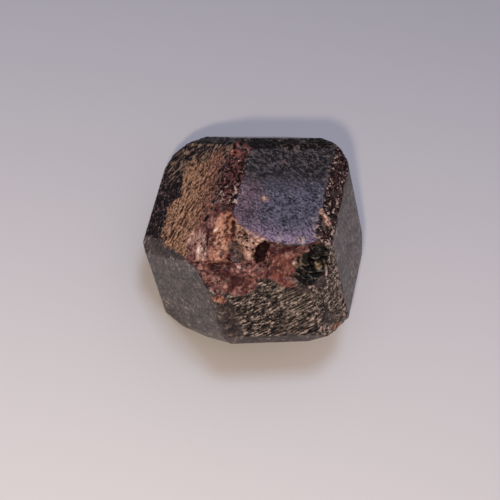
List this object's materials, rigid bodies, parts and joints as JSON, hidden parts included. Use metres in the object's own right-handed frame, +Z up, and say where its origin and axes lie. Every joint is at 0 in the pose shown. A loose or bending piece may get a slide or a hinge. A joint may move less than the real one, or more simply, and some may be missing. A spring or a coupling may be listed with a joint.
{
  "type": "garnet crystal",
  "caption": "Loose dark red-black garnet crystal with rhomb faces, narrow bevels, a porous brown crust on one face and a broken corner; rests on a flat face.",
  "frame": {"origin": "middle of the crystal's outline at the height of the base face that it lies on", "axes": "+Z up, away from the base face and square to the top rhomb face; +Y along the crystal's longest way, from the chipped front corner to the back corner; +X from the smooth front-left face to the face opposite it"},
  "size_m": [0.032, 0.0418, 0.0277],
  "materials": {
    "garnet": "satin"
  },
  "bodies": {
    "root": {"garnet_crystal": "garnet"}
  },
  "joints": []
}
